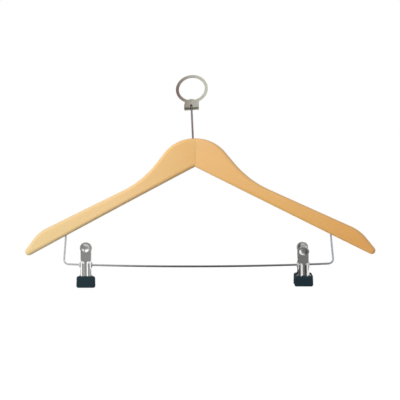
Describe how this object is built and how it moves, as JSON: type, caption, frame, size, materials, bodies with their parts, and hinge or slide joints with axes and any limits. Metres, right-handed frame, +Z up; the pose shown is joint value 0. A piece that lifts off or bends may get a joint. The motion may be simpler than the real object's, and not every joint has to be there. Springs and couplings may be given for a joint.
{
  "type": "trouser hanger",
  "caption": "Wooden hanger with a captive security ring, a wire trouser bar and sprung clips with rubber grips that slide and swing on the bar.",
  "frame": {"origin": "centre of the ring's bore, where the hanger is held on its rail", "axes": "+X along the hanger to its right seen from the front, +Y from its front to its back, +Z up"},
  "size_m": [0.445, 0.0441, 0.2678],
  "materials": {
    "wood": "satin clear varnish on pale beech",
    "ring_steel": "satin nickel plate",
    "pin_steel": "nickel plate",
    "bar_steel": "nickel plate",
    "clip_steel": "bright nickel plate",
    "tube_steel": "nickel plate",
    "spring_steel": "bare spring wire",
    "grip_rubber": "matt, blue-black"
  },
  "bodies": {
    "ring": {"security_ring": "ring_steel"},
    "pin": {"security_pin": "pin_steel"},
    "hanger": {"left_arm": "wood", "right_arm": "wood", "trouser_bar": "bar_steel"},
    "left_tube": {"left_pivot_tube": "tube_steel"},
    "left_front": {"left_front_jaw": "clip_steel", "left_front_grip": "grip_rubber", "left_torsion_spring": "spring_steel"},
    "left_rear": {"left_rear_jaw": "clip_steel", "left_rear_grip": "grip_rubber"},
    "right_tube": {"right_pivot_tube": "tube_steel"},
    "right_front": {"right_front_jaw": "clip_steel", "right_front_grip": "grip_rubber", "right_torsion_spring": "spring_steel"},
    "right_rear": {"right_rear_jaw": "clip_steel", "right_rear_grip": "grip_rubber"}
  },
  "joints": [
    {"name": "ring_rock", "type": "hinge", "parent": "ring", "child": "pin", "pos_m": [0.00091, -0.01457, -0.02436], "axis": [0.9993, 0, 0.0375], "range_deg": [-134, 0]},
    {"name": "pin_swivel", "type": "hinge", "parent": "pin", "child": "hanger", "pos_m": [0.00091, -0.01457, -0.02436], "axis": [-0.0375, 0, 0.9993], "continuous": true},
    {"name": "left_clip_slide", "type": "slide", "parent": "hanger", "child": "left_tube", "axis": [0.9998, 0, -0.0188], "range_m": [-0.0102, 0.1283]},
    {"name": "left_clip_swing", "type": "hinge", "parent": "left_tube", "child": "left_front", "pos_m": [-0.13735, 0.00487, -0.2203], "axis": [1, 0, 0], "continuous": true},
    {"name": "left_clip_open", "type": "hinge", "parent": "left_front", "child": "left_rear", "pos_m": [-0.13735, 0.00487, -0.2203], "axis": [1, 0, 0], "range_deg": [0, 17], "stiffness_Nm_per_rad": 0.12, "springref_deg": -80.21, "deforming": ["left_torsion_spring"]},
    {"name": "right_clip_slide", "type": "slide", "parent": "hanger", "child": "right_tube", "axis": [0.9998, 0, 0.0188], "range_m": [-0.1191, 0.0194]},
    {"name": "right_clip_swing", "type": "hinge", "parent": "right_tube", "child": "right_front", "pos_m": [0.13705, 0.00487, -0.22047], "axis": [1, 0, 0], "continuous": true},
    {"name": "right_clip_open", "type": "hinge", "parent": "right_front", "child": "right_rear", "pos_m": [0.13705, 0.00487, -0.22047], "axis": [1, 0, 0], "range_deg": [0, 17], "stiffness_Nm_per_rad": 0.12, "springref_deg": -80.21, "deforming": ["right_torsion_spring"]}
  ]
}
